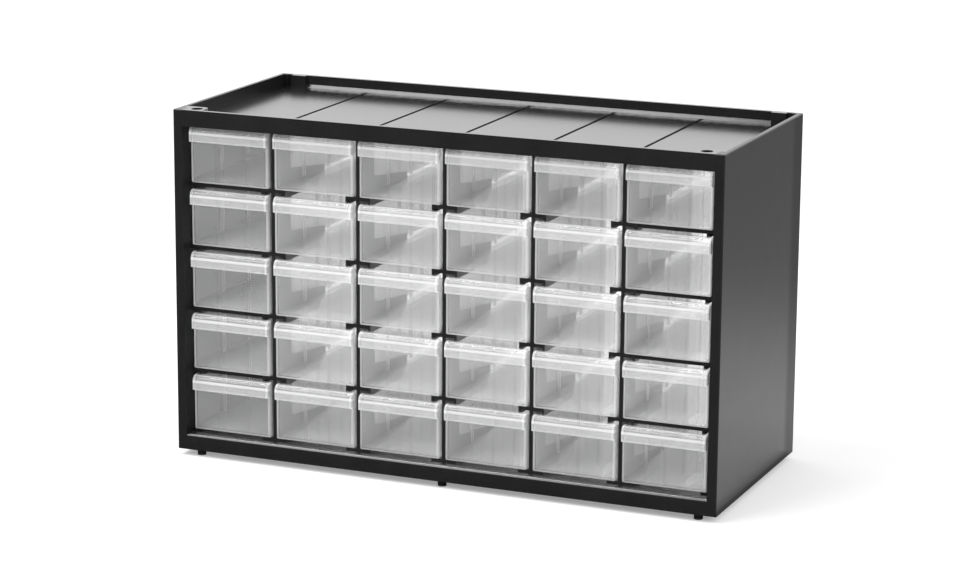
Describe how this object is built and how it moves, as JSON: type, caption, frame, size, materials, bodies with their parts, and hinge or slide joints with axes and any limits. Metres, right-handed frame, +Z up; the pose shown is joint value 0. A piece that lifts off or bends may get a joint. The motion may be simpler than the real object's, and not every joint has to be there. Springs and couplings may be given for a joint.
{
  "type": "parts bin cabinet",
  "caption": "Open-backed black plastic cabinet with clear slide-out drawers in columns and rows, a tray top with stacking holes and pegs below.",
  "frame": {"origin": "on the ground, in the middle of the footprint, at the tips of the pegs", "axes": "+X to the right seen from the front, -Y out of the front, the way the drawers open, +Z up"},
  "size_m": [0.365, 0.155, 0.2259],
  "materials": {
    "housing": "satin black moulded plastic",
    "drawer": "clear, slightly milky, glossy"
  },
  "bodies": {
    "cabinet": {"left_side_panel": "housing", "right_side_panel": "housing", "top_tray": "housing", "base_panel": "housing", "divider_1": "housing", "divider_2": "housing", "divider_3": "housing", "divider_4": "housing", "divider_5": "housing"},
    "drawer_r1_c1": {"drawer_r1_c1": "drawer"},
    "drawer_r1_c2": {"drawer_r1_c2": "drawer"},
    "drawer_r1_c3": {"drawer_r1_c3": "drawer"},
    "drawer_r1_c4": {"drawer_r1_c4": "drawer"},
    "drawer_r1_c5": {"drawer_r1_c5": "drawer"},
    "drawer_r1_c6": {"drawer_r1_c6": "drawer"},
    "drawer_r2_c1": {"drawer_r2_c1": "drawer"},
    "drawer_r2_c2": {"drawer_r2_c2": "drawer"},
    "drawer_r2_c3": {"drawer_r2_c3": "drawer"},
    "drawer_r2_c4": {"drawer_r2_c4": "drawer"},
    "drawer_r2_c5": {"drawer_r2_c5": "drawer"},
    "drawer_r2_c6": {"drawer_r2_c6": "drawer"},
    "drawer_r3_c1": {"drawer_r3_c1": "drawer"},
    "drawer_r3_c2": {"drawer_r3_c2": "drawer"},
    "drawer_r3_c3": {"drawer_r3_c3": "drawer"},
    "drawer_r3_c4": {"drawer_r3_c4": "drawer"},
    "drawer_r3_c5": {"drawer_r3_c5": "drawer"},
    "drawer_r3_c6": {"drawer_r3_c6": "drawer"},
    "drawer_r4_c1": {"drawer_r4_c1": "drawer"},
    "drawer_r4_c2": {"drawer_r4_c2": "drawer"},
    "drawer_r4_c3": {"drawer_r4_c3": "drawer"},
    "drawer_r4_c4": {"drawer_r4_c4": "drawer"},
    "drawer_r4_c5": {"drawer_r4_c5": "drawer"},
    "drawer_r4_c6": {"drawer_r4_c6": "drawer"},
    "drawer_r5_c1": {"drawer_r5_c1": "drawer"},
    "drawer_r5_c2": {"drawer_r5_c2": "drawer"},
    "drawer_r5_c3": {"drawer_r5_c3": "drawer"},
    "drawer_r5_c4": {"drawer_r5_c4": "drawer"},
    "drawer_r5_c5": {"drawer_r5_c5": "drawer"},
    "drawer_r5_c6": {"drawer_r5_c6": "drawer"}
  },
  "joints": [
    {"name": "drawer_r1_c1_slide", "type": "slide", "parent": "cabinet", "child": "drawer_r1_c1", "axis": [0, -1, 0], "range_m": [0, 0.11]},
    {"name": "drawer_r1_c2_slide", "type": "slide", "parent": "cabinet", "child": "drawer_r1_c2", "axis": [0, -1, 0], "range_m": [0, 0.11]},
    {"name": "drawer_r1_c3_slide", "type": "slide", "parent": "cabinet", "child": "drawer_r1_c3", "axis": [0, -1, 0], "range_m": [0, 0.11]},
    {"name": "drawer_r1_c4_slide", "type": "slide", "parent": "cabinet", "child": "drawer_r1_c4", "axis": [0, -1, 0], "range_m": [0, 0.11]},
    {"name": "drawer_r1_c5_slide", "type": "slide", "parent": "cabinet", "child": "drawer_r1_c5", "axis": [0, -1, 0], "range_m": [0, 0.11]},
    {"name": "drawer_r1_c6_slide", "type": "slide", "parent": "cabinet", "child": "drawer_r1_c6", "axis": [0, -1, 0], "range_m": [0, 0.11]},
    {"name": "drawer_r2_c1_slide", "type": "slide", "parent": "cabinet", "child": "drawer_r2_c1", "axis": [0, -1, 0], "range_m": [0, 0.11]},
    {"name": "drawer_r2_c2_slide", "type": "slide", "parent": "cabinet", "child": "drawer_r2_c2", "axis": [0, -1, 0], "range_m": [0, 0.11]},
    {"name": "drawer_r2_c3_slide", "type": "slide", "parent": "cabinet", "child": "drawer_r2_c3", "axis": [0, -1, 0], "range_m": [0, 0.11]},
    {"name": "drawer_r2_c4_slide", "type": "slide", "parent": "cabinet", "child": "drawer_r2_c4", "axis": [0, -1, 0], "range_m": [0, 0.11]},
    {"name": "drawer_r2_c5_slide", "type": "slide", "parent": "cabinet", "child": "drawer_r2_c5", "axis": [0, -1, 0], "range_m": [0, 0.11]},
    {"name": "drawer_r2_c6_slide", "type": "slide", "parent": "cabinet", "child": "drawer_r2_c6", "axis": [0, -1, 0], "range_m": [0, 0.11]},
    {"name": "drawer_r3_c1_slide", "type": "slide", "parent": "cabinet", "child": "drawer_r3_c1", "axis": [0, -1, 0], "range_m": [0, 0.11]},
    {"name": "drawer_r3_c2_slide", "type": "slide", "parent": "cabinet", "child": "drawer_r3_c2", "axis": [0, -1, 0], "range_m": [0, 0.11]},
    {"name": "drawer_r3_c3_slide", "type": "slide", "parent": "cabinet", "child": "drawer_r3_c3", "axis": [0, -1, 0], "range_m": [0, 0.11]},
    {"name": "drawer_r3_c4_slide", "type": "slide", "parent": "cabinet", "child": "drawer_r3_c4", "axis": [0, -1, 0], "range_m": [0, 0.11]},
    {"name": "drawer_r3_c5_slide", "type": "slide", "parent": "cabinet", "child": "drawer_r3_c5", "axis": [0, -1, 0], "range_m": [0, 0.11]},
    {"name": "drawer_r3_c6_slide", "type": "slide", "parent": "cabinet", "child": "drawer_r3_c6", "axis": [0, -1, 0], "range_m": [0, 0.11]},
    {"name": "drawer_r4_c1_slide", "type": "slide", "parent": "cabinet", "child": "drawer_r4_c1", "axis": [0, -1, 0], "range_m": [0, 0.11]},
    {"name": "drawer_r4_c2_slide", "type": "slide", "parent": "cabinet", "child": "drawer_r4_c2", "axis": [0, -1, 0], "range_m": [0, 0.11]},
    {"name": "drawer_r4_c3_slide", "type": "slide", "parent": "cabinet", "child": "drawer_r4_c3", "axis": [0, -1, 0], "range_m": [0, 0.11]},
    {"name": "drawer_r4_c4_slide", "type": "slide", "parent": "cabinet", "child": "drawer_r4_c4", "axis": [0, -1, 0], "range_m": [0, 0.11]},
    {"name": "drawer_r4_c5_slide", "type": "slide", "parent": "cabinet", "child": "drawer_r4_c5", "axis": [0, -1, 0], "range_m": [0, 0.11]},
    {"name": "drawer_r4_c6_slide", "type": "slide", "parent": "cabinet", "child": "drawer_r4_c6", "axis": [0, -1, 0], "range_m": [0, 0.11]},
    {"name": "drawer_r5_c1_slide", "type": "slide", "parent": "cabinet", "child": "drawer_r5_c1", "axis": [0, -1, 0], "range_m": [0, 0.11]},
    {"name": "drawer_r5_c2_slide", "type": "slide", "parent": "cabinet", "child": "drawer_r5_c2", "axis": [0, -1, 0], "range_m": [0, 0.11]},
    {"name": "drawer_r5_c3_slide", "type": "slide", "parent": "cabinet", "child": "drawer_r5_c3", "axis": [0, -1, 0], "range_m": [0, 0.11]},
    {"name": "drawer_r5_c4_slide", "type": "slide", "parent": "cabinet", "child": "drawer_r5_c4", "axis": [0, -1, 0], "range_m": [0, 0.11]},
    {"name": "drawer_r5_c5_slide", "type": "slide", "parent": "cabinet", "child": "drawer_r5_c5", "axis": [0, -1, 0], "range_m": [0, 0.11]},
    {"name": "drawer_r5_c6_slide", "type": "slide", "parent": "cabinet", "child": "drawer_r5_c6", "axis": [0, -1, 0], "range_m": [0, 0.11]}
  ]
}
